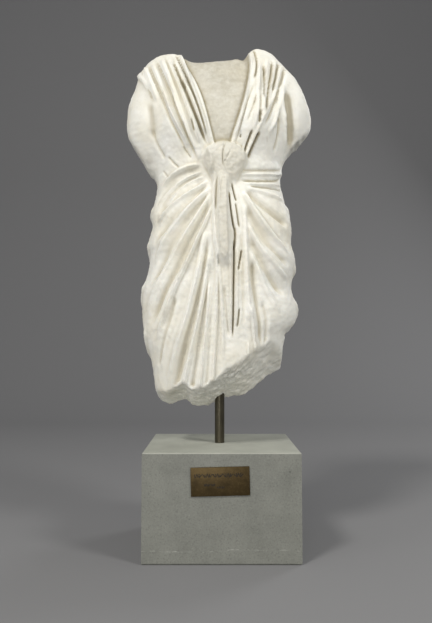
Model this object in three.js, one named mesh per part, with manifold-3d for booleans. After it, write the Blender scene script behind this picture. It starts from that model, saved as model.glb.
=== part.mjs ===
import * as THREE from 'three';
import { mergeVertices } from 'three/addons/utils/BufferGeometryUtils.js';
import Module from 'manifold-3d';

// Driving sizes, in millimetres. The origin is the middle of the plinth's underside.
const torsoHeight = 485; // lowest tip of the break to the higher shoulder
const torsoLift = 47; // plinth's top to the torso's lowest tip
const plinthWidth = 190;
const plinthDepth = 170;
const plinthHeight = 130;
const plinthEase = 1.6; // rounding of its edges
const rodDiameter = 12.7;
const rodSides = 28;
const rodInPlinth = 60;
const rodInTorso = 110; // above the torso's lowest tip
const rodRight = -2; // middle of the rod from the middle of the plinth
const fitGap = 0.3; // all round between pieces that touch
const plateWidth = 70;
const plateHeight = 34;
const plateThickness = 1.6;
const plateRight = -1.8; // middle of the plate from the middle of the plinth
const plateDrop = 33; // middle of the plate below the plinth's top
const plateTilt = THREE.MathUtils.degToRad(1.4);
const strokeDepth = 0.5;
const strokeWidth = 0.9;

// The torso is laid out on a figure drawnHeight tall, with z = 0 at its lowest tip, x to the right
// and the front towards -y. Its pose, proportions and carving keep their share of torsoHeight.
const drawnHeight = 485;
const figureScale = torsoHeight / drawnHeight;
const roundWidth = 94; // the steady oval by which folds are laid round the body
const roundDepth = 65;
const girth = 0.535 * (roundWidth + roundDepth); // one radian of turn, as a length along the surface

// Outline of the body: height, then distance from the middle
const leftSide = [
  [-7, -80], [18, -86], [59, -92], [90, -101], [123, -105], [153, -104], [180, -97], [199, -95],
  [214, -97.5], [238, -92], [250, -93.5], [289, -86], [338, -88], [413, -93], [451, -111], [468, -106],
];
const rightSide = [
  [23, 80], [93, 86], [113, 99], [124, 101], [158, 93.5], [177, 97], [195, 99], [214, 94], [240, 94],
  [282, 83], [304, 79.5], [310, 81.5], [321, 79], [343, 80], [423, 88], [463, 86],
];
const frontSide = [
  [-7, 54], [23, 58], [73, 64], [143, 69], [203, 70], [253, 66], [293, 58], [323, 60], [358, 66],
  [393, 60], [423, 48], [448, 36], [473, 26],
];
const backSide = [
  [-7, 50], [23, 54], [83, 60], [153, 66], [208, 70], [253, 58], [298, 50], [343, 54], [393, 60],
  [428, 56], [458, 44], [478, 34],
];
// Top of the shoulders and neck, and the broken lower edge: x, then height
const skyline = [
  [-130, 413], [-114, 449], [-100, 466], [-86, 474], [-66, 478], [-50, 474], [-40, 470], [-2, 471],
  [22, 473], [31, 472], [38, 480], [48, 485], [60, 483], [76, 473], [90, 459], [104, 439], [130, 383],
];
const brokenEdge = [
  [-100, 19], [-86, 13], [-76, 5], [-66, 3], [-57, 7], [-48, 9], [-39, 2], [-26, 0], [-10, 4],
  [4, 11], [20, 13], [37, 19], [49, 29], [62, 40], [78, 48], [100, 55],
];
// How steeply the break climbs towards the front: x, then rise for each mm
const breakSlope = [[-90, 0.4], [-30, 0.42], [10, 0.58], [40, 0.8], [90, 0.8]];
const squareness = 2.35; // 2 would be an ellipse in plan
const crownMiddle = 4; // depth of the top's highest line
const crownFall = 0.011; // fall from that line, for the square of the distance
const crownRound = 11;
const breakMiddle = 8; // depth of the break's lowest line
const breakBackSlope = 0.08;
const breakRound = 3;

const leftStump = { middle: [-92, 8, 381], radii: [37, 40, 66], lean: 0.05, blend: 26 };
const rightStump = { middle: [88, 10, 393], radii: [37, 40, 70], lean: -0.12, blend: 26 };
// Each stump's broken face: a point on it, then its outward slope in x and z
const leftStumpFace = { point: [-110, 336.5], slope: [-0.835, -0.55], round: 5 };
const rightStumpFace = { point: [122, 372], slope: [0.68, -0.73], round: 4 };

// The mesh is cast onto the figure by rays that leave an upright axis and fan out at its ends.
const columns = 78;
const capRows = 11;
const bodyRows = 36;
const capCrowding = 1.3; // above 1, the rows of the caps crowd towards the body
const axisLow = 85;
const axisHigh = 396;
const axisRight = -3;
const frontDensity = 0.5; // share by which columns crowd together at the front
const finestFold = 3.8; // narrower folds are softened to this half-width

// A fold runs from start to end in a shallow arc: across, height, across, height, bow, half-width, rise.
// Skirt folds are laid round the body by girth. A fan's valleys lie between its neighbouring ridges,
// and its eighth value is the depth of the valley that follows the ridge.
const leftFan = [
  [-26, 310, -95, 276, -8, 5, 4, 2],
  [-25, 300, -93, 233, -14, 3.2, 3.4, 2.5],
  [-21, 294, -66, 260, -7, 2.4, 2.4, 2.5],
  [-17, 288, -88, 234, -2, 4, 4, 4],
  [-15, 280, -84, 184, -2, 6, 5, 4.5],
  [-13, 273, -94, 122, 3, 4, 4, 6.5],
  [-10, 259, -78, 84, 3, 3.4, 6, 2.5],
  [-17, 228, -71, 30, 10, 6, 4.5, 6.5],
  [-12, 206, -57, 0, 7, 4, 5, 4.5],
  [-13, 158, -33, -10, 3, 2.4, 3.5, 3],
  [-5, 211, -14, -10, 3, 3, 3.5, 2.5],
  [-3, 184, 2, 62, 1, 3.2, 3, 0],
];
const rightFan = [
  [31, 280, 97, 271, -1, 5, 2.4, 6],
  [27, 277, 82, 199, -9, 6.5, 5.5, 4.5],
  [29, 234, 88, 164, -11, 5.5, 3, 5],
  [31, 199, 66, 122, -3, 5, 2.4, 0],
];
const skirtFolds = [
  [26, 256, 32, 104, -3, 3.6, 2.8],
  [31, 130, 45, 58, -1, 2.5, 3.6],
  [31, 84, 35, 53, -1, 2, 3],
  [32, 186, 51, 76, -3, 5.5, -5.5],
  [43, 136, 57, 74, 1, 5, -3.5],
  [20, 221, 24, 100, 0, 3.2, -1.8],
  [-48, 141, -86, 50, 3, 4, -3],
  [3, 155, 9, 88, -1, 3, -2.4],
  [9.5, 204, 9.5, 96, 0, 2.2, 2],
  [16.5, 204, 16.5, 96, 0, 2.2, 2],
  [-108, 265, -165, 246, 4, 6, 2.4],
  [-106, 218, -165, 190, 6, 7, 2.4],
  [-104, 165, -160, 128, 6, 7, 2.4],
  [-100, 105, -150, 62, 6, 7, 2.4],
  [110, 266, 165, 250, -4, 6, 2.4],
  [106, 188, 160, 176, -6, 7, 2.4],
  [106, 145, 158, 112, -6, 7, 2.4],
];
const beltFolds = [
  [25, 303, 116, 317, -3, 2.2, -2.4],
  [24, 297, 113, 310, -2, 3, 3.2],
  [25, 289.5, 114, 303, -3, 2.3, -4.5],
  [30, 285, 112, 295, -2, 2.4, 2.8],
  [36, 282.5, 105, 285, -1, 1.8, -2.6],
];
const slits = [
  [13, 212, 12.5, 88, 0, 1.25, -8],
  [9, 273, 14, 222, -1, 1.5, -6],
  [14, 228, 12.5, 198, 1, 1.6, -5],
  [16, 259, 19, 226, 0, 1.4, -3.5],
];
const tailFolds = [
  [-9, 298, -6, 195, -1, 3, 3.6],
  [-4, 302, -6, 248, -1, 1.5, -3.2],
  [-1, 294, -5, 240, 0, 2.4, 2.2],
];
// Folds of the two straps and of the breast are laid on the front by x.
const leftStrap = [
  [-56, 472, -14, 336, 1, 3.6, 6],
  [-48, 424, -19, 342, 2, 2.4, 3.4],
  [-72, 468, -24, 330, 2, 4.4, 6],
  [-64, 417, -40, 344, 2, 1.7, -2.6],
  [-80, 466, -33, 326, 1, 3.2, 5],
  [-86, 462, -32, 318, 1, 2.2, -4.4],
  [-93, 460, -38, 328, -1, 3, 4.4],
  [-98, 456, -43, 324, -1, 2.2, -4],
  [-103, 456, -82, 402, 1, 3, 4.4],
  [-109, 452, -90, 400, 2, 2, -2.4],
  [-61, 472, -17, 341, 2, 1.7, -6],
  [-64, 456, -19, 334, 0, 2.2, -7.5],
];
const rightStrap = [
  [40, 474, 15, 336, 4, 3, 4],
  [42, 419, 18, 336, -1, 1.6, -2.4],
  [49, 414, 31, 360, 0, 1.7, -2.4],
  [51, 460, 38, 350, 2, 3.2, 4.5],
  [86, 457, 51, 358, 3, 2.1, -4.5],
  [62, 464, 48, 372, 1, 2.8, 4.6],
  [73, 466, 58, 394, 1, 2.6, 4.6],
  [81, 458, 64, 392, 1, 2.8, 4.2],
  [89, 446, 56, 348, 3, 3.4, 3.6],
  [43, 480, 42, 428, 5, 1.6, -4],
  [57, 453, 52, 395, 2, 1.8, -5.5],
  [69, 461, 52, 374, 2, 1.8, -5.5],
  [77, 461, 66, 411, 1, 1.8, -4.5],
];
const breastFolds = [
  [-91, 364, -72, 321, -1, 3, -2.4],
  [72, 376, 68, 332, 2, 3, -3],
  [86, 416, 94, 340, 2, 9, -8],
];
// A ledge is steep along its line and slopes away on its left-hand side.
const ledges = [
  [-88, 464, -30, 316, 1, 14, 4],
  [33, 318, 62, 392, 1, 10, 3.4],
  [-116, 450, -84, 398, 0, 14, 4],
  [87, 342, 82, 424, 1, 12, 5],
];
// Bare chest between the straps: height, then x of each edge
const leftNeckline = [[336, -9.5], [417, -31.5], [462, -52], [485, -64]];
const rightNeckline = [[336, 12], [400, 31], [430, 37], [446, 39], [485, 38]];
const chestRecess = 5.5;
const necklineSoft = 3;
const shoulderSoft = 5; // how much softer the neckline gets on the shoulders
const breasts = { spread: 30, rise: 8, places: [[-52, 372], [50, 374]] };
const knot = {
  middle: [4, 319],
  top: 22,
  halfWidth: [[280, 14], [296, 21], [310, 29], [320, 31], [342, 31]],
  rise: [[286, 8], [300, 10], [314, 11.5], [342, 11]],
};
const knotFolds = [
  [6, 340, 3, 304, -3, 1.8, -2.4],
  [11, 326, 3, 310, 0, 1.6, -1.4],
  [-21, 338, -15, 296, 5, 5, 3],
  [-2, 346, -1, 292, 0, 11, -2.6],
];
const tail = [3, 304, 4, 176, -2, 11.5, 9.5];
// The back is plainer: straps that meet at the waist, and hanging folds below it.
const backStrapTop = 62;
const backStrapFoot = 16;
const backStrapLines = 4;
const backFolds = 6;
const waist = 296;

// Where kinds of carving fade in: from nothing at the first value to all of it at the second
const shoulders = [452, 476]; // heights
const recessTop = [492, 440];
const chestFoot = [326, 334];
const strapFoot = [292, 304];
const knotFoot = [278, 300];
const strapSides = [30, 2]; // depth
const frontReach = [2.05, 1.5]; // radians of turn from the front
const backReach = [1.75, 2.2];
const undercut = [-0.7, -0.2]; // upward share of the surface's normal
const backTop = [0.85, 0.5];

const { atan2, abs, cos, exp, sin, hypot, max, min, PI, sqrt } = Math;

function clamp(value, low = 0, high = 1) {
  return min(max(value, low), high);
}

function smoothStep(low, high, value) {
  const share = clamp((value - low) / (high - low));
  return share * share * (3 - 2 * share);
}

// Smooth curve through the points of an outline
function along(points, at) {
  const last = points.length - 1;
  const place = clamp(at, points[0][0], points[last][0]);
  let i = 0;
  while (i < last - 1 && place >= points[i + 1][0]) i += 1;
  const grade = (a, b) => (points[b][1] - points[a][1]) / (points[b][0] - points[a][0]);
  const slope = (k) => {
    if (k === 0) return grade(0, 1);
    if (k === last) return grade(last - 1, last);
    return (grade(k - 1, k) + grade(k, k + 1)) / 2;
  };
  const span = points[i + 1][0] - points[i][0];
  const s = (place - points[i][0]) / span;
  const from = (1 + 2 * s) * (1 - s) ** 2 * points[i][1] + s * (1 - s) ** 2 * span * slope(i);
  return from + s * s * (3 - 2 * s) * points[i + 1][1] + s * s * (s - 1) * span * slope(i + 1);
}

function joined(a, b, blend) {
  const share = clamp(0.5 + (0.5 * (b - a)) / blend);
  return b + (a - b) * share - blend * share * (1 - share);
}

function trimmed(a, b, blend) {
  return -joined(-a, -b, blend);
}

// Distance outside a stump of an arm, with its broken face
function stump(x, y, z, arm, face) {
  const [mx, my, mz] = arm.middle;
  const dx = cos(arm.lean) * (x - mx) + sin(arm.lean) * (z - mz);
  const dz = cos(arm.lean) * (z - mz) - sin(arm.lean) * (x - mx);
  const dy = y - my;
  const stretch = hypot(dx / arm.radii[0], dy / arm.radii[1], dz / arm.radii[2]) + 1e-9;
  const whole = hypot(dx, dy, dz) * (1 - 1 / stretch);
  const beyond = (x - face.point[0]) * face.slope[0] + (z - face.point[1]) * face.slope[1];
  return trimmed(whole, beyond, face.round);
}

function plan(z) {
  const left = along(leftSide, z);
  const right = along(rightSide, z);
  const halfWidth = (right - left) / 2;
  return { middle: (left + right) / 2, halfWidth, front: along(frontSide, z), back: along(backSide, z) };
}

// Distance outside the uncarved torso, negative within
function form(x, y, z) {
  const { middle, halfWidth, front, back } = plan(z);
  const depth = y < 0 ? front : back;
  const power = abs((x - middle) / halfWidth) ** squareness + abs(y / depth) ** squareness;
  const stretch = power ** (1 / squareness) + 1e-9;
  let body = hypot(x - middle, y) * (1 - 1 / stretch);
  body = joined(body, stump(x, y, z, leftStump, leftStumpFace), leftStump.blend);
  body = joined(body, stump(x, y, z, rightStump, rightStumpFace), rightStump.blend);
  const crown = z - along(skyline, x) + crownFall * (y - crownMiddle) ** 2;
  body = trimmed(body, crown * 0.8, crownRound);
  const frontRise = along(breakSlope, x) * max(0, breakMiddle - y);
  const backRise = breakBackSlope * max(0, y - breakMiddle);
  const edge = along(brokenEdge, x) + frontRise + backRise;
  return trimmed(body, (edge - z) * 0.9, breakRound);
}

function facing(x, y, z) {
  const e = 1.2;
  const normal = new THREE.Vector3(
    form(x + e, y, z) - form(x - e, y, z),
    form(x, y + e, z) - form(x, y - e, z),
    form(x, y, z + e) - form(x, y, z - e),
  );
  return normal.normalize();
}

// Point where a ray leaves the uncarved torso
function surface(height, turn, tilt) {
  const direction = [sin(turn) * cos(tilt), -cos(turn) * cos(tilt), sin(tilt)];
  const at = (t) => form(axisRight + direction[0] * t, direction[1] * t, height + direction[2] * t);
  let inside = 200;
  while (inside > 0 && at(inside) > 0) inside -= 4;
  let outside = inside + 4;
  for (let i = 0; i < 18; i += 1) {
    const half = (inside + outside) / 2;
    if (at(half) < 0) inside = half;
    else outside = half;
  }
  return [axisRight + direction[0] * inside, direction[1] * inside, height + direction[2] * inside];
}

// Share of the way along a fold, and how far a place lies off its arc
function track([a0, z0, a1, z1, bow], across, z) {
  const length = hypot(a1 - a0, z1 - z0);
  const [ta, tz] = [(a1 - a0) / length, (z1 - z0) / length];
  const share = ((across - a0) * ta + (z - z0) * tz) / length;
  const run = clamp(share);
  const offset = (across - a0) * -tz + (z - z0) * ta - 4 * bow * run * (1 - run);
  return { share, offset, past: (share - run) * length, length };
}

// Height of one fold at a place on the surface
function fold(line, across, z) {
  const { share, offset, past, length } = track(line, across, z);
  const [halfWidth, rise] = line.slice(5);
  const wide = max(halfWidth, finestFold);
  const away = min(hypot(offset, past) / wide, 1);
  const swell = clamp((1.6 * halfWidth) / length, 0.1, 0.45);
  const fade = smoothStep(-0.02, swell, share) * smoothStep(1.02, 0.82, share);
  return (rise * sqrt(halfWidth / wide) * fade * (1 + cos(PI * away))) / 2;
}

function ledge(line, across, z) {
  const { share, offset } = track(line, across, z);
  const [width, rise] = line.slice(5);
  const fade = smoothStep(-0.05, 0.12, share) * smoothStep(1.05, 0.88, share);
  return rise * fade * smoothStep(0, finestFold, offset) * (1 - smoothStep(0, width, offset));
}

function folds(list, across, z) {
  return list.reduce((sum, each) => sum + fold(each, across, z), 0);
}

// Ridges that spread from one place, with a valley between each two
function fan(ridges, across, z) {
  let height = folds(ridges, across, z);
  for (let i = 0; i + 1 < ridges.length; i += 1) {
    const [ridge, next] = [ridges[i], ridges[i + 1]];
    const path = ridge.slice(0, 5).map((value, k) => (value + next[k]) / 2);
    const gap = hypot(ridge[2] - next[2], ridge[3] - next[3]) / 2;
    height += fold([...path, clamp(gap * 0.45, 2.6, 8), -ridge[7]], across, z);
  }
  return height;
}

function skirtRelief(across, z) {
  let height = fan(leftFan, across, z) + fan(rightFan, across, z);
  height += folds(skirtFolds, across, z) + folds(beltFolds, across, z) + folds(tailFolds, across, z);
  height += min(fold(tail, across, z) * 1.3, tail[6]);
  return height + folds(slits, across, z);
}

function chestRelief(x, z) {
  const left = along(leftNeckline, z);
  const right = along(rightNeckline, z);
  const soft = necklineSoft + shoulderSoft * smoothStep(...shoulders, z);
  const within = smoothStep(0, soft, x - left) * smoothStep(0, soft, right - x);
  const bare = within * smoothStep(...chestFoot, z);
  let height = folds(leftStrap, x, z) + folds(rightStrap, x, z) + folds(breastFolds, x, z);
  height += ledges.reduce((sum, line) => sum + ledge(line, x, z), 0);
  height = height * (1 - bare) - chestRecess * bare * smoothStep(...recessTop, z);
  for (const [bx, bz] of breasts.places) {
    const away = hypot(x - bx, z - bz) / breasts.spread;
    height += breasts.rise * exp(-away * away);
  }
  return height;
}

// A dome that narrows downwards into the tail
function knotRelief(x, z) {
  const above = max(z - knot.middle[1], 0) / knot.top;
  const aside = (x - knot.middle[0]) / along(knot.halfWidth, z);
  const dome = clamp(1 - hypot(aside, above) ** 2);
  const cover = smoothStep(0, 0.45, dome) * smoothStep(...knotFoot, z);
  return { cover, height: along(knot.rise, z) * sqrt(dome) + folds(knotFolds, x, z) };
}

function backRelief(x, across, z) {
  let height = 0;
  for (const side of [-1, 1]) {
    for (let i = 0; i < backStrapLines; i += 1) {
      const top = side * (backStrapTop + 9 * i);
      const foot = side * (backStrapFoot + 11 * i);
      height += fold([top, 486, foot, waist + 8, side * 4, 3.4, 2.6], x, z);
      height += fold([top + 4.5 * side, 486, foot + 5.5 * side, waist + 8, side * 4, 2.6, -2.4], x, z);
    }
  }
  for (let i = -backFolds; i <= backFolds; i += 1) {
    const spread = 10.5 + 1.5 * sin(2.3 * i);
    const from = [5.5 * i, waist - 8];
    const drop = 22 + 9 * sin(1.7 * i);
    height += fold([...from, spread * i * 1.9, drop, i, 6.5, 3.4], across, z);
    height += fold([from[0] + 3, from[1], spread * (i + 0.5) * 1.9, drop, i, 5, -2.6], across, z);
  }
  const belt = smoothStep(12, 0, abs(z - waist));
  return height + 2.4 * belt - 2 * smoothStep(5, 0, abs(z - waist - 9));
}

// Carving at a point of the surface
function relief(x, y, z, normal) {
  const turn = atan2(x / roundWidth, -y / roundDepth);
  const across = girth * turn;
  const behind = girth * atan2(x / roundWidth, y / roundDepth);
  const carved = smoothStep(...undercut, normal.z);
  const atFront = smoothStep(...frontReach, abs(turn));
  const onChest = smoothStep(...strapFoot, z) * smoothStep(...strapSides, y);
  const bound = knotRelief(x, z);
  const cover = bound.cover * (y < 0 ? 1 : 0);
  const draped = skirtRelief(across, z) * atFront + chestRelief(x, z) * onChest;
  const atBack = smoothStep(...backReach, abs(turn)) * smoothStep(...backTop, normal.z);
  const plain = backRelief(x, behind, z) * atBack;
  return carved * (draped * (1 - cover) + bound.height * cover + plain);
}

// Height of the ray's start on the axis and its tilt, for a row counted from the top
function ray(row) {
  const down = clamp((row - capRows) / bodyRows);
  const height = axisHigh + (axisLow - axisHigh) * down;
  const above = clamp(1 - row / capRows);
  const below = clamp((row - capRows - bodyRows) / capRows);
  return { height, tilt: (PI / 2) * (above ** capCrowding - below ** capCrowding) };
}

// Two triangles over a square of the mesh, split along the fold that crosses it
function split(square, rises) {
  const [a, b, c, d] = square;
  const [ra, rb, rc, rd] = square.map((corner) => rises[corner]);
  if (abs(ra - rc) < abs(rb - rd)) return [a, d, c, a, c, b];
  return [a, d, b, b, d, c];
}

function carveTorso() {
  const rows = 2 * capRows + bodyRows;
  const points = [];
  const rises = [];
  const addPoint = (row, around) => {
    const { height, tilt } = ray(row);
    const [x, y, z] = surface(height, around - frontDensity * sin(around), tilt);
    const normal = facing(x, y, z);
    const rise = relief(x, y, z, normal);
    points.push(x + normal.x * rise, y + normal.y * rise, z + normal.z * rise);
    rises.push(rise);
  };
  addPoint(0, 0);
  for (let row = 1; row < rows; row += 1) {
    for (let i = 0; i < columns; i += 1) addPoint(row, (2 * PI * i) / columns);
  }
  addPoint(rows, 0);
  const lowest = rises.length - 1;
  const corner = (row, i) => 1 + (row - 1) * columns + (i % columns);
  const faces = [];
  for (let i = 0; i < columns; i += 1) {
    faces.push(0, corner(1, i), corner(1, i + 1));
    faces.push(lowest, corner(rows - 1, i + 1), corner(rows - 1, i));
    for (let row = 1; row < rows - 1; row += 1) {
      const square = [corner(row, i), corner(row, i + 1), corner(row + 1, i + 1), corner(row + 1, i)];
      faces.push(...split(square, rises));
    }
  }
  const geometry = new THREE.BufferGeometry();
  geometry.setAttribute('position', new THREE.Float32BufferAttribute(points, 3));
  geometry.setIndex(faces);
  return geometry;
}

const wasm = await Module();
wasm.setup();

function toSolid(geometry) {
  const bare = geometry.clone();
  bare.deleteAttribute('normal');
  bare.deleteAttribute('uv');
  const merged = mergeVertices(bare, 1e-4);
  const vertProperties = new Float32Array(merged.attributes.position.array);
  const triVerts = new Uint32Array(merged.index.array);
  return new wasm.Manifold(new wasm.Mesh({ numProp: 3, vertProperties, triVerts }));
}

function toGeometry(solid) {
  const { vertProperties, triVerts } = solid.getMesh();
  const geometry = new THREE.BufferGeometry();
  geometry.setAttribute('position', new THREE.BufferAttribute(vertProperties, 3));
  geometry.setIndex(new THREE.BufferAttribute(triVerts, 1));
  geometry.computeVertexNormals();
  return geometry;
}

// Upright round bar or bore between two heights, on the rod's middle line
function uprightRound(radius, low, high) {
  const geometry = new THREE.CylinderGeometry(radius, radius, high - low, rodSides);
  geometry.rotateX(PI / 2);
  geometry.translate(rodRight, 0, (low + high) / 2);
  return geometry;
}

function block(width, depth, height) {
  return new THREE.BoxGeometry(width, depth, height);
}

const torsoBottom = plinthHeight + torsoLift;
const rodBottom = plinthHeight - rodInPlinth;
const rodTop = torsoBottom + rodInTorso;
const boreRadius = rodDiameter / 2 + fitGap;

function buildTorso() {
  const carved = carveTorso();
  carved.computeBoundingBox();
  const { min: low, max: high } = carved.boundingBox;
  const scale = torsoHeight / (high.z - low.z);
  carved.translate(0, 0, -low.z);
  carved.scale(figureScale, figureScale, scale);
  carved.translate(0, 0, torsoBottom);
  const bore = uprightRound(boreRadius, plinthHeight, rodTop + fitGap);
  return toGeometry(toSolid(carved).subtract(toSolid(bore)));
}

function buildPlinth() {
  const [w, d] = [plinthWidth / 2 - plinthEase, plinthDepth / 2 - plinthEase];
  const outline = new THREE.Shape([[-w, -d], [w, -d], [w, d], [-w, d]].map((p) => new THREE.Vector2(...p)));
  const body = new THREE.ExtrudeGeometry(outline, {
    depth: plinthHeight - 2 * plinthEase,
    bevelEnabled: true,
    bevelThickness: plinthEase,
    bevelSize: plinthEase,
    bevelSegments: 3,
  });
  body.translate(0, 0, plinthEase);
  const bore = uprightRound(boreRadius, rodBottom - fitGap, plinthHeight + torsoLift);
  return toGeometry(toSolid(body).subtract(toSolid(bore)));
}

// Rows of upright and slanting strokes, none of them a letter
function buildPlate() {
  let plate = toSolid(block(plateWidth, plateThickness, plateHeight));
  const rows = [
    { count: 13, from: -0.44, to: 0.4, up: 0.21, tall: 0.13 },
    { count: 4, from: -0.26, to: -0.1, up: -0.13, tall: 0.09 },
    { count: 2, from: -0.04, to: 0.03, up: -0.22, tall: 0.07 },
  ];
  for (const { count, from, to, up, tall } of rows) {
    for (let i = 0; i < count; i += 1) {
      const stroke = block(strokeWidth, 2 * strokeDepth, tall * plateHeight * (i % 3 === 1 ? 0.7 : 1));
      stroke.rotateY([0, 0.5, -0.4, 0][i % 4]);
      const across = from + ((to - from) * i) / (count - 1);
      stroke.translate(across * plateWidth, -plateThickness / 2, up * plateHeight);
      plate = plate.subtract(toSolid(stroke));
    }
  }
  return toGeometry(plate);
}

function named(name, geometry, color, roughness, metalness) {
  const mesh = new THREE.Mesh(geometry, new THREE.MeshStandardMaterial({ color, roughness, metalness }));
  mesh.name = name;
  return mesh;
}

const sculpture = new THREE.Group();
sculpture.add(named('torso', buildTorso(), 0xe6e1d3, 0.6, 0));
sculpture.add(named('rod', uprightRound(rodDiameter / 2, rodBottom, rodTop), 0x3b382c, 0.45, 0.8));
sculpture.add(named('plinth', buildPlinth(), 0x80827a, 0.5, 0));
const plate = named('plate', buildPlate(), 0x5a4a2a, 0.45, 0.9);
plate.position.set(plateRight, -plinthDepth / 2 - fitGap - plateThickness / 2, plinthHeight - plateDrop);
plate.rotation.y = -plateTilt;
sculpture.add(plate);

export default sculpture;
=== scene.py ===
import bpy
import numpy as np
from math import cos, pi, radians, sin
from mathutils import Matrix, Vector, noise


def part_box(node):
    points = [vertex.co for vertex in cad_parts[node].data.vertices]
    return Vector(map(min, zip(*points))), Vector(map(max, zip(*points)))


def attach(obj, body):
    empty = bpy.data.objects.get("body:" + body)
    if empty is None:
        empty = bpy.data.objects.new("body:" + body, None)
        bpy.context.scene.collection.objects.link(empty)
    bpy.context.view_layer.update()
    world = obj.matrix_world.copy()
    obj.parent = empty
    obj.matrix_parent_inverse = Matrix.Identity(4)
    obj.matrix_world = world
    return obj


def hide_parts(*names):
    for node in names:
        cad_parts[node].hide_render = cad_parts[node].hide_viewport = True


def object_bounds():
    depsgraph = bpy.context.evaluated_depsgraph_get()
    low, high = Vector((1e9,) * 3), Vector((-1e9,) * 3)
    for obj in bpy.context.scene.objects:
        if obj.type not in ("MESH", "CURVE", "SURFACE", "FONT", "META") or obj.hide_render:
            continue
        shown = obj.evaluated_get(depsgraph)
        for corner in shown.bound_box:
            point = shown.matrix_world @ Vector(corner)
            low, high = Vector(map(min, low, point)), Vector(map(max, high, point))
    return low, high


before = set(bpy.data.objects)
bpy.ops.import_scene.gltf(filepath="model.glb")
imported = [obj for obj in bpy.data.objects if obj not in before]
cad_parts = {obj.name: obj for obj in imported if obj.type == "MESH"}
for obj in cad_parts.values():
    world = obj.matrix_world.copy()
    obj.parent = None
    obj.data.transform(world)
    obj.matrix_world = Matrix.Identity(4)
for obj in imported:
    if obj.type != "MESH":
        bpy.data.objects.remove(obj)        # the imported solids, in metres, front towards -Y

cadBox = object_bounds()
print("frame loaded:", ", ".join(sorted(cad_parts)))

# camera

camera = {"place": (-0.0068, -0.835, 0.2533), "pitch": radians(3.45), "focal": 624.0, "picture": (432, 623),
          "sensor": 36.0}


def addCamera():
    data = bpy.data.cameras.new("camera")
    data.sensor_width = camera["sensor"]
    data.lens = camera["focal"] * camera["sensor"] / max(camera["picture"])          # focal is in pixels
    eye = bpy.data.objects.new("camera", data)
    eye.location = camera["place"]
    eye.rotation_euler = (pi / 2 + camera["pitch"], 0, 0)
    bpy.context.collection.objects.link(eye)
    bpy.context.scene.camera = eye


addCamera()

# materials: a wire is one output of a node, with arithmetic


class Wire:
    def __init__(self, tree, socket):
        self.tree, self.socket = tree, socket

    def join(self, operation, other, swapped=False):
        pair = (other, self) if swapped else (self, other)
        return addNode(self.tree, "ShaderNodeMath", {"operation": operation}, dict(enumerate(pair))).out(0)

    def __add__(self, other):
        return self.join("ADD", other)

    def __sub__(self, other):
        return self.join("SUBTRACT", other)

    def __rsub__(self, other):
        return self.join("SUBTRACT", other, swapped=True)

    def __mul__(self, other):
        return self.join("MULTIPLY", other)

    def __truediv__(self, other):
        return self.join("DIVIDE", other)

    def __rtruediv__(self, other):
        return self.join("DIVIDE", other, swapped=True)

    __radd__, __rmul__ = __add__, __mul__

    def within(self):          # held between 0 and 1
        return self.join("MAXIMUM", 0.0).join("MINIMUM", 1.0)

    def spread(self, low, high):          # 0 at low, 1 at high
        return ((self - low) / (high - low)).within()


class Node:
    def __init__(self, tree, node):
        self.tree, self.node = tree, node

    def out(self, name):
        return Wire(self.tree, self.node.outputs[name])


def addNode(tree, kind, settings=None, inputs=None):          # inputs are values or wires, by socket
    node = tree.nodes.new(kind)
    for name, value in (settings or {}).items():
        setattr(node, name, value)
    for name, value in (inputs or {}).items():
        if isinstance(value, Wire):
            tree.links.new(value.socket, node.inputs[name])
        elif isinstance(value, tuple) and len(node.inputs[name].default_value) == 4:
            node.inputs[name].default_value = (*value, 1)
        else:
            node.inputs[name].default_value = value
    return Node(tree, node)


def blend(tree, share, first, second):          # sockets 6 and 7 take the colours, output 2 gives their mix
    mixed = addNode(tree, "ShaderNodeMix", {"data_type": "RGBA"}, {"Factor": share, 6: first, 7: second})
    return mixed.out(2)


def cloud(tree, place, scale, detail=4.0, roughness=0.55, distortion=0.0):
    return addNode(tree, "ShaderNodeTexNoise", None, {"Vector": place, "Scale": scale, "Detail": detail,
                   "Roughness": roughness, "Distortion": distortion}).out(0)


def newMaterial(name):
    material = bpy.data.materials.new(name)
    material.use_nodes = True
    tree = material.node_tree
    tree.nodes.clear()
    shader = addNode(tree, "ShaderNodeBsdfPrincipled")
    output = addNode(tree, "ShaderNodeOutputMaterial", None, {"Surface": shader.out("BSDF")})
    output.node.target = "ALL"
    place = addNode(tree, "ShaderNodeTexCoord").out("Object")
    return material, tree, shader.node, place


def feed(tree, shader, inputs):
    for name, value in inputs.items():
        if isinstance(value, Wire):
            tree.links.new(value.socket, shader.inputs[name])
        else:
            shader.inputs[name].default_value = value


def bump(tree, height, strength, distance):
    return addNode(tree, "ShaderNodeBump", None,
                   {"Height": height, "Strength": strength, "Distance": distance}).out("Normal")


marbleLook = {
    "clean": (0.84, 0.832, 0.768), "warm": (0.78, 0.745, 0.63), "pale": (0.89, 0.885, 0.85),
    "grey": (0.64, 0.63, 0.57), "shade": (0.54, 0.50, 0.395), "broken": (0.64, 0.63, 0.56),
    # the tan below is laid for real stains and wear, and also for painted shade in drilled grooves, along
    # the neckline, under the arms and on the bare chest
    "dirtAndShade": (0.262, 0.22, 0.124),
    # from where to where each colour comes in, and the most it takes
    "warmPatch": (0.45, 0.72), "paleBloom": (0.5, 0.75), "paleMost": 0.6, "greyMottle": (0.5, 0.72),
    "greyMost": 0.55, "shadeHollow": (0.05, 1.9), "brokenGrain": (0.25, 0.7), "brokenMost": 0.8,
    "dirtShadeEven": 0.1, "dirtShadeFine": 0.7, "dirtShadeMottle": 0.5,
    "patch": 14.0, "bloom": 37.8, "mottle": 60.0, "fine": 150.0, "grain": 900.0,          # noise scales
    "fineRelief": 0.35, "breakRelief": 1.2, "grainRelief": 0.3, "bump": 0.4, "bumpDepth": 0.0008,
    "rough": 0.5, "fineRough": 0.2, "breakRough": 0.15,
    "glow": 0.08, "glowReach": (0.0016, 0.0013, 0.001),
}


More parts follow.
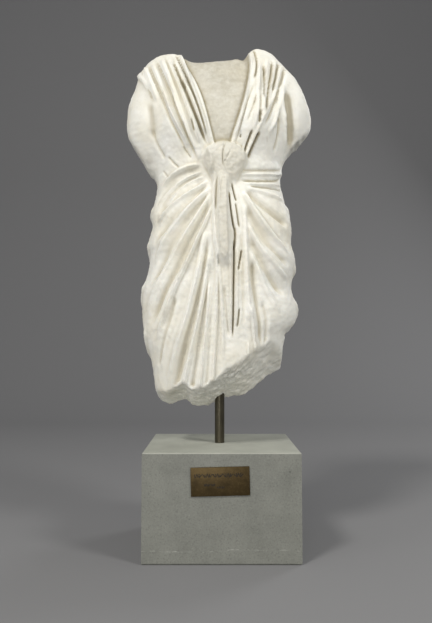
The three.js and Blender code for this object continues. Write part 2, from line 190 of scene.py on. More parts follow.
def marble():
    look = marbleLook
    material, tree, shader, place = newMaterial("marble")
    # the stain mask carries real stains and wear together with painted shade
    stainAndShade, hollow, broken = (addNode(tree, "ShaderNodeAttribute", {"attribute_name": name}).out("Fac")
                              for name in ("stainAndShade", "hollow", "broken"))
    patches = cloud(tree, place, look["patch"], 5.0, 0.6)
    bloom = cloud(tree, place, look["bloom"])
    mottle = cloud(tree, place, look["mottle"], 6.0, 0.7, 0.4)
    fine = cloud(tree, place, look["fine"], 6.0, 0.65)
    grain = cloud(tree, place, look["grain"], 3.0, 0.6)
    colour = blend(tree, patches.spread(*look["warmPatch"]), look["clean"], look["warm"])
    colour = blend(tree, bloom.spread(*look["paleBloom"]) * look["paleMost"], colour, look["pale"])
    colour = blend(tree, mottle.spread(*look["greyMottle"]) * look["greyMost"], colour, look["grey"])
    colour = blend(tree, hollow.spread(*look["shadeHollow"]), colour, look["shade"])
    rawStone = broken * fine.spread(*look["brokenGrain"]) * look["brokenMost"]
    colour = blend(tree, rawStone, colour, look["broken"])
    # stains and wear, with painted shade in drilled grooves, along the neckline, under the arms and on the
    # bare chest
    stainAndShadeShare = stainAndShade * (look["dirtShadeEven"] + fine * look["dirtShadeFine"] + mottle * look["dirtShadeMottle"])
    colour = blend(tree, stainAndShadeShare.within(), colour, look["dirtAndShade"])
    height = fine * (look["fineRelief"] + broken * look["breakRelief"]) + grain * look["grainRelief"]
    rough = look["rough"] + fine * look["fineRough"] + broken * look["breakRough"]
    feed(tree, shader, {"Base Color": colour, "Roughness": rough.within(),
                        "Normal": bump(tree, height, look["bump"], look["bumpDepth"]),
                        "Subsurface Weight": look["glow"], "Subsurface Radius": look["glowReach"],
                        "Subsurface Scale": 1.0})
    return material


# torso: a ball of stone is taken to the figure's form, and the drapery is carved into it.
# Sizes are millimetres on a figure 485 tall, z = 0 at its lowest tip. It is scaled to the solid at the end.

torso = {
    "segments": 300, "rings": 330, "capRows": 55, "frontDensity": 0.5,
    "axisLow": 85.0, "axisHigh": 383.0, "axisRight": -3.0, "farthest": 168.0, "rayStep": 8.0, "halvings": 16,
    "girth": 85.0, "roundWidth": 94.0, "roundDepth": 65.0, "squareness": 2.35,
    "crownMiddle": 4.0, "crownFall": 0.011, "crownLean": 0.8, "crownRound": 11.0,
    "breakMiddle": 8.0, "breakBackSlope": 0.08, "breakLean": 0.9, "breakRound": 3.0,
    "leftSide": [
        (-7, -80), (18, -86), (59, -92), (90, -101), (123, -105), (153, -104), (180, -97), (199, -95),
        (214, -97.5), (238, -92), (250, -93.5), (289, -86), (338, -88), (413, -93), (451, -111),
        (468, -106)],
    "rightSide": [
        (23, 80), (93, 86), (113, 99), (124, 101), (158, 93.5), (177, 97), (195, 99), (214, 94), (240, 94),
        (282, 83), (304, 79.5), (310, 81.5), (321, 79), (343, 80), (423, 88), (463, 86)],
    "frontSide": [
        (-7, 54), (23, 58), (73, 64), (143, 69), (203, 70), (253, 66), (293, 58), (323, 60), (358, 66),
        (393, 60), (423, 48), (448, 36), (473, 26)],
    "backSide": [
        (-7, 50), (23, 54), (83, 60), (153, 66), (208, 70), (253, 58), (298, 50), (343, 54), (393, 60),
        (428, 56), (458, 44), (478, 34)],
    "skyline": [
        (-130, 413), (-114, 449), (-100, 466), (-86, 474), (-66, 478), (-50, 474), (-40, 470), (-2, 471),
        (22, 473), (31, 472), (38, 480), (48, 485), (60, 483), (76, 473), (90, 459), (104, 439), (130, 383)],
    "brokenEdge": [
        (-100, 19), (-86, 13), (-76, 5), (-66, 3), (-57, 7), (-48, 9), (-39, 2), (-26, 0), (-10, 4),
        (4, 11), (20, 13), (37, 19), (49, 29), (62, 40), (78, 48), (100, 55)],
    "breakSlope": [(-90, 0.4), (-30, 0.42), (10, 0.58), (40, 0.8), (90, 0.8)],
    "leftStump": {"middle": (-92, 8, 381), "radii": (37, 40, 66), "lean": 0.05, "blend": 26,
                  "point": (-110, 336.5), "slope": (-0.835, -0.55), "round": 5},
    "rightStump": {"middle": (88, 10, 393), "radii": (37, 40, 70), "lean": -0.12, "blend": 26,
                   "point": (122, 372), "slope": (0.68, -0.73), "round": 4},
}

# A fold runs from start to end in a shallow arc: across, height, across, height, bow, half-width, rise.
# A fan's eighth value is the depth of the valley after each ridge.
carving = {
    "leftFan": [
        (-26, 310, -95, 276, -8, 5, 4, 2),
        (-25, 300, -93, 233, -14, 3.2, 3.4, 2.5),
        (-21, 294, -66, 260, -7, 2.4, 2.4, 2.5),
        (-17, 288, -88, 234, -2, 4, 4, 4),
        (-15, 280, -84, 184, -2, 6, 5, 4.5),
        (-13, 273, -94, 122, 3, 4, 4, 6.5),
        (-10, 259, -78, 84, 3, 3.4, 6, 2.5),
        (-17, 228, -71, 30, 10, 6, 4.5, 6.5),
        (-12, 206, -57, 0, 7, 4, 5, 4.5),
        (-13, 158, -33, -10, 3, 2.4, 3.5, 3),
        (-5, 211, -14, -10, 3, 3, 3.5, 2.5),
        (-3, 184, 2, 62, 1, 3.2, 3, 0)],
    "rightFan": [
        (31, 280, 97, 271, -1, 5, 2.4, 6),
        (27, 277, 82, 199, -9, 6.5, 5.5, 4.5),
        (29, 234, 88, 164, -11, 5.5, 3, 5),
        (31, 199, 66, 122, -3, 5, 2.4, 0)],
    "skirt": [
        (26, 256, 32, 104, -3, 3.6, 2.8),
        (31, 130, 45, 58, -1, 2.5, 3.6),
        (31, 84, 35, 53, -1, 2, 3),
        (32, 186, 51, 76, -3, 5.5, -5.5),
        (43, 136, 57, 74, 1, 5, -3.5),
        (20, 221, 24, 100, 0, 3.2, -1.8),
        (-48, 141, -86, 50, 3, 4, -3),
        (3, 155, 9, 88, -1, 3, -2.4),
        (9.5, 204, 9.5, 96, 0, 2.2, 2),
        (16.5, 204, 16.5, 96, 0, 2.2, 2),
        (-108, 265, -165, 246, 4, 6, 2.4),
        (-106, 218, -165, 190, 6, 7, 2.4),
        (-104, 165, -160, 128, 6, 7, 2.4),
        (-100, 105, -150, 62, 6, 7, 2.4),
        (110, 266, 165, 250, -4, 6, 2.4),
        (106, 188, 160, 176, -6, 7, 2.4),
        (106, 145, 158, 112, -6, 7, 2.4),
        (98, 108, 165, 106, 0, 5, 1.8),
        (98, 96, 165, 93, 0, 5, -3.6)],
    "belt": [
        (25, 303, 116, 317, -3, 2.2, -2.4),
        (24, 297, 113, 310, -2, 3, 3.2),
        (25, 289.5, 114, 303, -3, 2.3, -4.5),
        (30, 285, 112, 295, -2, 2.4, 2.8),
        (36, 282.5, 105, 285, -1, 1.8, -2.6)],
    "slits": [
        (13, 212, 12.5, 88, 0, 1.25, -8),
        (9, 273, 14, 222, -1, 1.5, -6),
        (14, 228, 12.5, 198, 1, 1.6, -5),
        (13, 285, 17, 261, 0, 1.4, -5),
        (16, 259, 19, 226, 0, 1.4, -3.5),
        (21, 199, 17, 172, 0, 1.3, -4.5),
        (19, 126, 17, 102, 0, 1.3, -3.5)],
    "tailFolds": [
        (-9, 298, -6, 195, -1, 3, 3.6),
        (-4, 302, -6, 248, -1, 1.5, -3.2),
        (-1, 294, -5, 240, 0, 2.4, 2.2)],
    "leftStrap": [
        (-56, 472, -14, 336, 1, 3.6, 6),
        (-48, 424, -19, 342, 2, 2.4, 3.4),
        (-72, 468, -24, 330, 2, 4.4, 6),
        (-64, 417, -40, 344, 2, 1.7, -2.6),
        (-80, 466, -33, 326, 1, 3.2, 5),
        (-86, 462, -32, 318, 1, 2.2, -4.4),
        (-93, 460, -38, 328, -1, 3, 4.4),
        (-98, 456, -43, 324, -1, 2.2, -4),
        (-103, 456, -82, 402, 1, 3, 4.4),
        (-109, 452, -90, 400, 2, 2, -2.4)],
    "leftDrilled": [
        (-61, 472, -17, 341, 2, 1.7, -6),
        (-64, 456, -19, 334, 0, 2.2, -7.5),
        (-52, 426, -46, 412, 0, 2.2, -4),
        (-36, 364, -33, 350, 0, 1.4, -4)],
    "rightStrap": [
        (40, 474, 15, 336, 4, 3.0, 4),
        (42, 419, 18, 336, -1, 1.6, -2.4),
        (49, 414, 31, 360, 0, 1.7, -2.4),
        (51, 460, 38, 350, 2, 3.2, 4.5),
        (86, 457, 51, 358, 3, 2.1, -4.5),
        (62, 464, 48, 372, 1, 2.8, 4.6),
        (73, 466, 58, 394, 1, 2.6, 4.6),
        (81, 458, 64, 392, 1, 2.8, 4.2),
        (89, 446, 56, 348, 3, 3.4, 3.6)],
    "rightDrilled": [
        (43, 480, 42, 428, 5, 1.6, -4),
        (57, 453, 52, 395, 2, 1.8, -5.5),
        (47, 378, 45, 361, 0, 1.7, -5),
        (38, 353, 27, 320, 0, 1.8, -5.5),
        (69, 461, 52, 374, 2, 1.8, -5.5),
        (77, 461, 66, 411, 1, 1.8, -4.5),
        (47, 352, 33, 318, 0, 2.4, -6),
        (18, 337, 18, 333, 0, 1.5, -3),
        (24, 348, 24, 343, 0, 1.5, -3),
        (25, 334, 25, 329, 0, 1.5, -3)],
    "breast": [
        (-49, 334, -38, 318, 0, 2, -2.6),
        (-69, 325, -54, 308, -1, 2, -2.8),
        (-77, 310, -68, 298, -1, 1.8, -2),
        (-91, 364, -72, 321, -1, 3, -2.4),
        (-95, 402, -88, 350, 1, 8, -2.6),
        (72, 376, 68, 332, 2, 3, -3),
        (86, 416, 94, 340, 2, 9, -8)],
    "ledges": [
        (-88, 464, -30, 316, 1, 14, 4),
        (33, 318, 62, 392, 1, 10, 3.4),
        (-116, 450, -84, 398, 0, 14, 4),
        (87, 342, 82, 424, 1, 12, 5)],
    "tanAndShade": [          # stains, and painted shade under the arms and in creases: the last value is their strength
        (92, 422, 91, 334, 1, 9, 0.24), (97, 384, 94, 334, 0, 14, 0.22), (-92, 402, -86, 356, 0, 10, 0.14),
        (-98, 336, -92, 322, 0, 9, 0.3), (8, 270, 10, 90, 0, 24, 0.2), (-8, 470, 18, 470, 0, 12, 0.12),
        (38, 306, 64, 298, 0, 9, 0.16), (60, 340, 66, 318, 0, 7, 0.14), (-78, 412, -74, 407, 0, 1.9, 0.5),
        (65, 368, 67, 360, 0, 1.9, 0.4), (56, 349, 58, 341, 0, 1.9, 0.35)],
    "leftNeckline": [(336, -9.5), (417, -31.5), (462, -52), (485, -64)],
    "rightNeckline": [(336, 12), (400, 31), (430, 37), (446, 39), (485, 38)],
    "chestRecess": 5.5, "necklineSoft": 1.6,
    "breasts": {"spread": 30, "rise": 8, "places": [(-52, 372), (50, 374)]},
    "knot": {"middle": (4, 319), "top": 22,
             "halfWidth": [(280, 14), (296, 21), (310, 29), (320, 31), (342, 31)],
             "rise": [(286, 8), (300, 10), (314, 11.5), (342, 11)]},
    "knotFolds": [
        (6, 340, 3, 304, -3, 1.8, -2.4),
        (11, 326, 3, 310, 0, 1.6, -1.4),
        (-21, 338, -15, 296, 5, 5, 3),
        (-2, 346, -1, 292, 0, 11, -2.6)],
    "tail": (3, 304, 4, 176, -2, 11.5, 9.5),
    # after tailFlat, the stain strengths: dirt and painted shade in drilled grooves, painted shadow along
    # the neckline corner, wear on the knot and tail, and a tan on the bare chest that is partly its own tone
    # and partly painted shade
    "tailFlat": 1.3, "drilledDirtAndShade": 0.25, "cornerShade": 0.6, "wornStain": 0.34, "bareTanAndShade": 0.68,
    "shoulderSoft": 5, "cornerWidth": 3, "knotEdge": (0, 0.45), "fanSharp": 1.5, "drilledSharp": 0.7,
    # how folds and ledges begin and end, in shares of their length
    "swell": 1.6, "swellLimits": (0.1, 0.45), "foldStart": -0.02, "foldEnd": (1.02, 0.82),
    "ledgeStart": (-0.05, 0.12), "ledgeEnd": (1.05, 0.88), "ledgeSteep": 1.6, "valleyShare": 0.45,
    "valleyLimits": (2.2, 8),
    # where the carving fades, from none to full, by height, depth, angle about the axis, slope or rise
    "shoulders": (452, 476), "recessTop": (492, 440), "chestFoot": (326, 334), "strapFoot": (292, 304),
    "knotFoot": (278, 300), "strapSides": (30, 2), "frontReach": (2.05, 1.5), "backReach": (1.75, 2.2),
    "undercut": (-0.7, -0.2), "backTop": (0.85, 0.5), "brokenFrom": (-0.4, -0.8), "wornFrom": (3, 8),
}

# The back is plainer: straps and hanging folds in even rows. Ridges and grooves are half-width, then rise.
backCarving = {
    "waist": 296, "highest": 486, "waistGap": 8, "straps": 4, "strapTop": 62, "strapFoot": 16, "topStep": 9,
    "footStep": 11, "strapBow": 4, "strapRidge": (3.8, 2.6), "strapGroove": (3.4, -2.2),
    "folds": 6, "foldStep": 5.5, "grooveAside": 3, "spread": (10.5, 1.5, 2.3), "drop": (22, 9, 1.7),
    "fanOut": 1.9, "foldRidge": (6.5, 3.4), "foldGroove": (5, -2.6),
    "beltHalf": 12, "beltRise": 2.4, "beltLine": 9, "lineHalf": 5, "lineDeep": 2,
}

# each kind of wear: rise and size of its noise, a shift to keep it apart from the others, and octaves
weathering = {
    "wide": (0.6, 16.0, 0, 4), "fine": (0.4, 5.0, 0, 4), "broken": (1.8, 9.0, 50, 5),
    "crumb": (0.5, 3.0, 0, 4), "worn": (0.6, 4.0, 90, 4), "falling": 0.8, "finer": 2.0, "blurPasses": 10,
}


def smoothStep(low, high, value):
    share = np.clip((value - low) / (high - low), 0, 1)
    return share * share * (3 - 2 * share)


def along(points, at):          # smooth curve through the points of an outline
    places, values = np.array(points, float).T
    slopes = np.diff(values) / np.diff(places)
    grades = np.concatenate((slopes[:1], (slopes[1:] + slopes[:-1]) / 2, slopes[-1:]))
    at = np.clip(at, places[0], places[-1])
    i = np.clip(np.searchsorted(places, at, side="right") - 1, 0, len(places) - 2)
    span = places[i + 1] - places[i]
    s = (at - places[i]) / span
    start = (1 + 2 * s) * (1 - s) ** 2 * values[i] + s * (1 - s) ** 2 * span * grades[i]
    return start + s * s * (3 - 2 * s) * values[i + 1] + s * s * (s - 1) * span * grades[i + 1]


def joined(a, b, blend):
    share = np.clip(0.5 + 0.5 * (b - a) / blend, 0, 1)
    return b + (a - b) * share - blend * share * (1 - share)


def trimmed(a, b, blend):
    return -joined(-a, -b, blend)


def stump(x, y, z, arm):
    middle, radii, lean = arm["middle"], arm["radii"], arm["lean"]
    dx = np.cos(lean) * (x - middle[0]) + np.sin(lean) * (z - middle[2])
    dz = np.cos(lean) * (z - middle[2]) - np.sin(lean) * (x - middle[0])
    dy = y - middle[1]
    stretch = np.sqrt((dx / radii[0]) ** 2 + (dy / radii[1]) ** 2 + (dz / radii[2]) ** 2) + 1e-9
    whole = np.sqrt(dx * dx + dy * dy + dz * dz) * (1 - 1 / stretch)
    beyond = (x - arm["point"][0]) * arm["slope"][0] + (z - arm["point"][1]) * arm["slope"][1]
    return trimmed(whole, beyond, arm["round"])


def plan(z):
    left, right = along(torso["leftSide"], z), along(torso["rightSide"], z)
    return (left + right) / 2, (right - left) / 2, along(torso["frontSide"], z), along(torso["backSide"], z)


def form(x, y, z):          # distance outside the uncarved torso, negative within
    middle, halfWidth, front, back = plan(z)
    depth = np.where(y < 0, front, back)
    power = torso["squareness"]
    stretch = (np.abs((x - middle) / halfWidth) ** power + np.abs(y / depth) ** power) ** (1 / power) + 1e-9
    body = np.hypot(x - middle, y) * (1 - 1 / stretch)
    for arm in (torso["leftStump"], torso["rightStump"]):
        body = joined(body, stump(x, y, z, arm), arm["blend"])
    crown = z - along(torso["skyline"], x) + torso["crownFall"] * (y - torso["crownMiddle"]) ** 2
    body = trimmed(body, crown * torso["crownLean"], torso["crownRound"])
    forward = torso["breakMiddle"] - y
    edge = along(torso["brokenEdge"], x) + along(torso["breakSlope"], x) * np.maximum(0, forward)
    edge = edge + torso["breakBackSlope"] * np.maximum(0, -forward)
    return trimmed(body, (edge - z) * torso["breakLean"], torso["breakRound"])


def facing(x, y, z):
    near = 1.2
    normal = np.stack((form(x + near, y, z) - form(x - near, y, z),
                       form(x, y + near, z) - form(x, y - near, z),
                       form(x, y, z + near) - form(x, y, z - near)))
    return normal / np.linalg.norm(normal, axis=0)


def surface(height, turn, tilt):          # where each ray leaves the uncarved torso
    direction = np.stack((np.sin(turn) * np.cos(tilt), -np.cos(turn) * np.cos(tilt), np.sin(tilt)))
    start = np.stack((np.full_like(turn, torso["axisRight"]), np.zeros_like(turn), height))
    inside = np.full_like(turn, torso["farthest"])
    going = np.ones(turn.shape, bool)
    while going.any():
        going[going] = form(*(start[:, going] + direction[:, going] * inside[going])) > 0
        inside[going] -= torso["rayStep"]
        going &= inside > 0
    outside = inside + torso["rayStep"]
    for _ in range(torso["halvings"]):
        half = (inside + outside) / 2
        within = form(*(start + direction * half)) < 0
        inside, outside = np.where(within, half, inside), np.where(within, outside, half)
    return start + direction * inside


def track(line, across, z):          # share of the way along a line, and how far a place lies off it
    a0, z0, a1, z1, bow = line[:5]
    length = np.hypot(a1 - a0, z1 - z0)
    ta, tz = (a1 - a0) / length, (z1 - z0) / length
    share = ((across - a0) * ta + (z - z0) * tz) / length
    run = np.clip(share, 0, 1)
    offset = (across - a0) * -tz + (z - z0) * ta - 4 * bow * run * (1 - run)
    return share, offset, (share - run) * length, length


def fold(line, across, z, sharp=1.0):
    share, offset, past, length = track(line, across, z)
    halfWidth, rise = line[5:]
    away = np.minimum(np.hypot(offset, past) / halfWidth, 1)
    swell = np.clip(carving["swell"] * halfWidth / length, *carving["swellLimits"])
    fade = smoothStep(carving["foldStart"], swell, share) * smoothStep(*carving["foldEnd"], share)
    return rise * fade * (0.5 + 0.5 * np.cos(pi * away)) ** sharp


def ledge(line, across, z):          # steep at the line, then sloping away on its left-hand side
    share, offset = track(line, across, z)[:2]
    width, rise = line[5:]
    fade = smoothStep(*carving["ledgeStart"], share) * smoothStep(*carving["ledgeEnd"], share)
    return rise * fade * smoothStep(0, carving["ledgeSteep"], offset) * (1 - smoothStep(0, width, offset))


def folds(name, across, z, sharp=1.0):
    return sum(fold(line, across, z, sharp) for line in carving[name])


def fan(name, across, z):          # ridges spread from one place, a valley between each two
    ridges, (narrow, wide) = carving[name], carving["valleyLimits"]
    height = sum(fold(ridge[:7], across, z, carving["fanSharp"]) for ridge in ridges)
    for ridge, following in zip(ridges, ridges[1:]):
        path = [(a + b) / 2 for a, b in zip(ridge[:5], following[:5])]
        gap = np.hypot(ridge[2] - following[2], ridge[3] - following[3]) / 2
        halfWidth = min(max(gap * carving["valleyShare"], narrow), wide)
        height = height + fold((*path, halfWidth, -ridge[7]), across, z)
    return height


def skirtRelief(across, z):
    height = fan("leftFan", across, z) + fan("rightFan", across, z)
    height += folds("skirt", across, z) + folds("belt", across, z) + folds("tailFolds", across, z)
    return height + np.minimum(fold(carving["tail"], across, z) * carving["tailFlat"], carving["tail"][6])


def chestRelief(x, z):
    soft = carving["necklineSoft"] + carving["shoulderSoft"] * smoothStep(*carving["shoulders"], z)
    inside = np.minimum(x - along(carving["leftNeckline"], z), along(carving["rightNeckline"], z) - x)
    bare = smoothStep(0, soft, inside) * smoothStep(*carving["chestFoot"], z)
    # painted shadow along the neckline, where the straps stand over the bare chest
    corner = bare * smoothStep(soft + carving["cornerWidth"], soft, inside)
    height = folds("leftStrap", x, z) + folds("rightStrap", x, z) + folds("breast", x, z)
    height += sum(ledge(line, x, z) for line in carving["ledges"])
    height = height * (1 - bare) - carving["chestRecess"] * bare * smoothStep(*carving["recessTop"], z)
    breasts = carving["breasts"]
    for bx, bz in breasts["places"]:
        away = np.hypot(x - bx, z - bz) / breasts["spread"]
        height += breasts["rise"] * np.exp(-away * away)
    return height, bare, corner


def knotRelief(x, z):          # a dome that narrows downwards into the tail
    knot = carving["knot"]
    above = np.maximum(z - knot["middle"][1], 0) / knot["top"]
    aside = (x - knot["middle"][0]) / along(knot["halfWidth"], z)
    dome = np.clip(1 - np.hypot(aside, above) ** 2, 0, 1)
    height = along(knot["rise"], z) * np.sqrt(dome) + folds("knotFolds", x, z)
    return smoothStep(*carving["knotEdge"], dome) * smoothStep(*carving["knotFoot"], z), height


def backRelief(x, across, z):
    back = backCarving
    height, waist = np.zeros_like(x), back["waist"]
    for side in (-1, 1):
        for i in range(back["straps"]):
            top = side * (back["strapTop"] + back["topStep"] * i)
            foot = side * (back["strapFoot"] + back["footStep"] * i)
            bow, end = side * back["strapBow"], waist + back["waistGap"]
            height += fold((top, back["highest"], foot, end, bow, *back["strapRidge"]), x, z)
            top, foot = top + side * back["topStep"] / 2, foot + side * back["footStep"] / 2
            height += fold((top, back["highest"], foot, end, bow, *back["strapGroove"]), x, z)
    for i in range(-back["folds"], back["folds"] + 1):
        spread, drop = (even + uneven * np.sin(turn * i)
                        for even, uneven, turn in (back["spread"], back["drop"]))
        top, start = back["foldStep"] * i, waist - back["waistGap"]
        height += fold((top, start, spread * i * back["fanOut"], drop, i, *back["foldRidge"]), across, z)
        top, foot = top + back["grooveAside"], spread * (i + 0.5) * back["fanOut"]
        height += fold((top, start, foot, drop, i, *back["foldGroove"]), across, z)
    belt = back["beltRise"] * smoothStep(back["beltHalf"], 0, np.abs(z - waist))
    line = back["lineDeep"] * smoothStep(back["lineHalf"], 0, np.abs(z - waist - back["beltLine"]))
    return height + belt - line


def relief(x, y, z, normal):          # the carving's rise, its stains and painted shade, and how broken and worn the stone is
    aside, forward = x / torso["roundWidth"], y / torso["roundDepth"]
    turn = np.arctan2(aside, -forward)
    across = torso["girth"] * turn
    behind = torso["girth"] * np.arctan2(aside, forward)
    carved = smoothStep(*carving["undercut"], normal[2])
    atFront = smoothStep(*carving["frontReach"], np.abs(turn))
    onChest = smoothStep(*carving["strapFoot"], z) * smoothStep(*carving["strapSides"], y)
    cover, bound = knotRelief(x, z)
    cover = cover * (y < 0)
    chest, bare, corner = chestRelief(x, z)
    sharp = carving["drilledSharp"]
    drilled = (folds("leftDrilled", x, z, sharp) + folds("rightDrilled", x, z, sharp)) * onChest * (1 - bare)
    drilled = (drilled + folds("slits", across, z, sharp) * atFront) * (1 - cover) * carved
    draped = skirtRelief(across, z) * atFront + chest * onChest
    atBack = smoothStep(*carving["backReach"], np.abs(turn)) * smoothStep(*carving["backTop"], normal[2])
    plain = backRelief(x, behind, z) * atBack
    height = carved * (draped * (1 - cover) + bound * cover + plain)
    worn = np.maximum(cover, smoothStep(*carving["wornFrom"], fold(carving["tail"], across, z)) * atFront)
    # dirt and painted shade in drilled grooves, painted shadow along the neckline corner, and wear on the
    # knot and tail
    stainedAndShaded = -drilled * carving["drilledDirtAndShade"] + carving["cornerShade"] * corner * onChest * (1 - cover)
    stainedAndShaded = stainedAndShaded + carving["wornStain"] * worn
    # a tan on the bare chest, partly its own tone and partly painted shade; stains and painted shade under
    # the arms and in creases
    tanAndShade = folds("tanAndShade", x, z) * atFront + carving["bareTanAndShade"] * bare * onChest
    stainedAndShaded = np.clip(stainedAndShaded + tanAndShade * (1 - cover), 0, 1)
    return height + drilled, stainedAndShaded, smoothStep(*carving["brokenFrom"], normal[2]), worn


def wear(place, kind):          # uneven values about 0, one for each point
    rise, size, shift, octaves = weathering[kind]
    falling, finer = weathering["falling"], weathering["finer"]
    return rise * np.array([noise.fractal(Vector(point) / size, falling, finer, octaves)
                            for point in (place + shift).T])


def blurred(field, passes):          # rows run pole to pole, columns run round and meet
    for _ in range(passes):
        field = (np.roll(field, 1, 1) + 2 * field + np.roll(field, -1, 1)) / 4
        padded = np.pad(field, ((1, 1), (0, 0)), "edge")
        field = (padded[:-2] + 2 * padded[1:-1] + padded[2:]) / 4
    return field


def carveTorso():
    bpy.ops.object.select_all(action="DESELECT")
    bpy.ops.mesh.primitive_uv_sphere_add(segments=torso["segments"], ring_count=torso["rings"], radius=1)
    piece = bpy.context.object
    piece.name = piece.data.name = "torsoMarble"
    count = len(piece.data.vertices)
    ball = np.empty(count * 3)
    piece.data.vertices.foreach_get("co", ball)
    ball = ball.reshape(-1, 3).T
    caps, bodyRows = torso["capRows"], torso["rings"] - 2 * torso["capRows"]
    row = np.round(np.arccos(np.clip(ball[2], -1, 1)) / pi * torso["rings"])
    around = np.arctan2(ball[0], -ball[1])
    turn = around - torso["frontDensity"] * np.sin(around)
    down = np.clip((row - caps) / bodyRows, 0, 1)
    height = torso["axisHigh"] + (torso["axisLow"] - torso["axisHigh"]) * down
    tilt = pi / 2 * (np.clip(1 - row / caps, 0, 1) - np.clip((row - caps - bodyRows) / caps, 0, 1))
    place = surface(height, turn, tilt)
    normal = facing(*place)
    rise, stainAndShade, broken, worn = relief(*place, normal)
    column = np.round(around / (2 * pi) * torso["segments"]).astype(int) % torso["segments"]
    field = np.zeros((torso["rings"] + 1, torso["segments"]))
    field[row.astype(int), column] = rise
    field[0], field[-1] = field[1].mean(), field[-2].mean()
    hollow = (blurred(field, weathering["blurPasses"]) - field)[row.astype(int), column]
    smooth = wear(place, "wide") + wear(place, "fine")
    rough = wear(place, "broken") + wear(place, "crumb")
    rise = rise + smooth * (1 - broken) + rough * broken + wear(place, "worn") * worn
    place = place + normal * rise
    low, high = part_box("torso")
    scale = (high[2] - low[2]) / (place[2].max() - place[2].min())
    place[2] -= place[2].min()
    place = place * scale
    place[2] += low[2]
    place = np.clip(place, np.array(low)[:, None], np.array(high)[:, None])
    piece.data.vertices.foreach_set("co", place.T.ravel())
    # the stain mask holds real stains and wear and also painted shade
    for name, values in (("stainAndShade", stainAndShade), ("broken", broken), ("hollow", hollow)):
        layer = piece.data.attributes.new(name, "FLOAT", "POINT")
        layer.data.foreach_set("value", values.astype(np.float32))
    piece.data.update()
    bpy.ops.object.shade_smooth()
    piece.data.materials.append(marble())
    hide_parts("torso")
    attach(piece, "root")
    return piece


marbleTorso = carveTorso()
print("torso carved:", len(marbleTorso.data.vertices), "points")

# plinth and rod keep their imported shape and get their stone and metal

plinthLook = {
    "stone": (0.16, 0.164, 0.144), "light": (0.25, 0.255, 0.225), "dark": (0.09, 0.094, 0.08),
    "mottle": 35.0, "mottleFrom": (0.3, 0.7), "mottleMost": 0.5,
    "speckle": 480.0, "paleSpeck": (0.55, 0.75), "paleMost": 0.55,
    "darkSpeck": (0.45, 0.28), "darkMost": 0.6,
    "smudge": 22.0, "smudgeFrom": (0.56, 0.7), "smudgeHeight": (0.06, 0.13), "smudgeMost": 0.35,
    "vein": (0.56, 0.57, 0.52), "veinHeight": 0.0155, "veinWave": 0.014, "veinWidth": 0.0009,
    "veinTurns": 30.0, "veinGaps": 60.0, "veinShows": (0.47, 0.66), "veinMost": 0.6,
    "pit": (0.081, 0.108), "pitRadius": 0.0016, "pitEdge": (1.0, 0.3), "pitFront": (-0.08, -0.082),
    "pitMost": 0.8,
    # painted light on the plinth's top strip
    "litTop": (0.45, 0.46, 0.40), "litTopHeight": (0.1286, 0.1298), "litTopEven": 0.55, "litTopMottle": 0.5,
    "rough": 0.42, "mottleRough": 0.2, "speckleRough": 0.1,
    "mottleRelief": 0.5, "bump": 0.15, "bumpDepth": 0.0004,
}


def plinthStone():
    look = plinthLook
    material, tree, shader, place = newMaterial("plinthStone")
    parts = addNode(tree, "ShaderNodeSeparateXYZ", None, {"Vector": place})
    height = parts.out("Z")
    mottle = cloud(tree, place, look["mottle"], 6.0, 0.6)
    speckle = cloud(tree, place, look["speckle"], 2.0, 0.7)
    light = mottle.spread(*look["mottleFrom"]) * look["mottleMost"]
    colour = blend(tree, light, look["stone"], look["light"])
    colour = blend(tree, speckle.spread(*look["paleSpeck"]) * look["paleMost"], colour, look["light"])
    colour = blend(tree, speckle.spread(*look["darkSpeck"]) * look["darkMost"], colour, look["dark"])
    smudge = cloud(tree, place, look["smudge"], 3.0, 0.5, 0.6).spread(*look["smudgeFrom"])
    smudge = smudge * height.spread(*look["smudgeHeight"]) * look["smudgeMost"]
    colour = blend(tree, smudge, colour, look["dark"])
    wander = (cloud(tree, place, look["veinTurns"], 3.0) - 0.5) * look["veinWave"] + look["veinHeight"]
    near = (height - wander).join("ABSOLUTE", 0.0)
    gaps = cloud(tree, place, look["veinGaps"], 3.0).spread(*look["veinShows"])
    vein = near.spread(look["veinWidth"], 0.0) * gaps * look["veinMost"]
    colour = blend(tree, vein, colour, look["vein"])
    aside = (parts.out("X") - look["pit"][0]) / look["pitRadius"]
    above = (height - look["pit"][1]) / look["pitRadius"]
    pit = (aside * aside + above * above).spread(*look["pitEdge"]) * parts.out("Y").spread(*look["pitFront"])
    colour = blend(tree, pit * look["pitMost"], colour, look["dark"])
    # painted light: the plinth's top strip is drawn lighter, as if lit from above, unevenly by the mottle
    litTop = height.spread(*look["litTopHeight"]) * (look["litTopEven"] + mottle * look["litTopMottle"])
    colour = blend(tree, litTop.within(), colour, look["litTop"])          # painted light: the top is drawn lighter
    rough = look["rough"] + mottle * look["mottleRough"] + speckle * look["speckleRough"]
    uneven = speckle + mottle * look["mottleRelief"]
    feed(tree, shader, {"Base Color": colour, "Roughness": rough.within(),
                        "Normal": bump(tree, uneven, look["bump"], look["bumpDepth"])})
    return material


rodLook = {
    "metal": (0.052, 0.046, 0.030), "worn": (0.10, 0.088, 0.060), "wornFrom": (0.5, 0.8),
    "streak": 260.0, "drawnOut": 0.06, "blotch": 70.0, "streakShare": 0.7, "blotchShare": 0.5,
    "rough": 0.3, "streakRough": 0.25, "metallic": 0.75, "bump": 0.2, "bumpDepth": 0.0002,
}


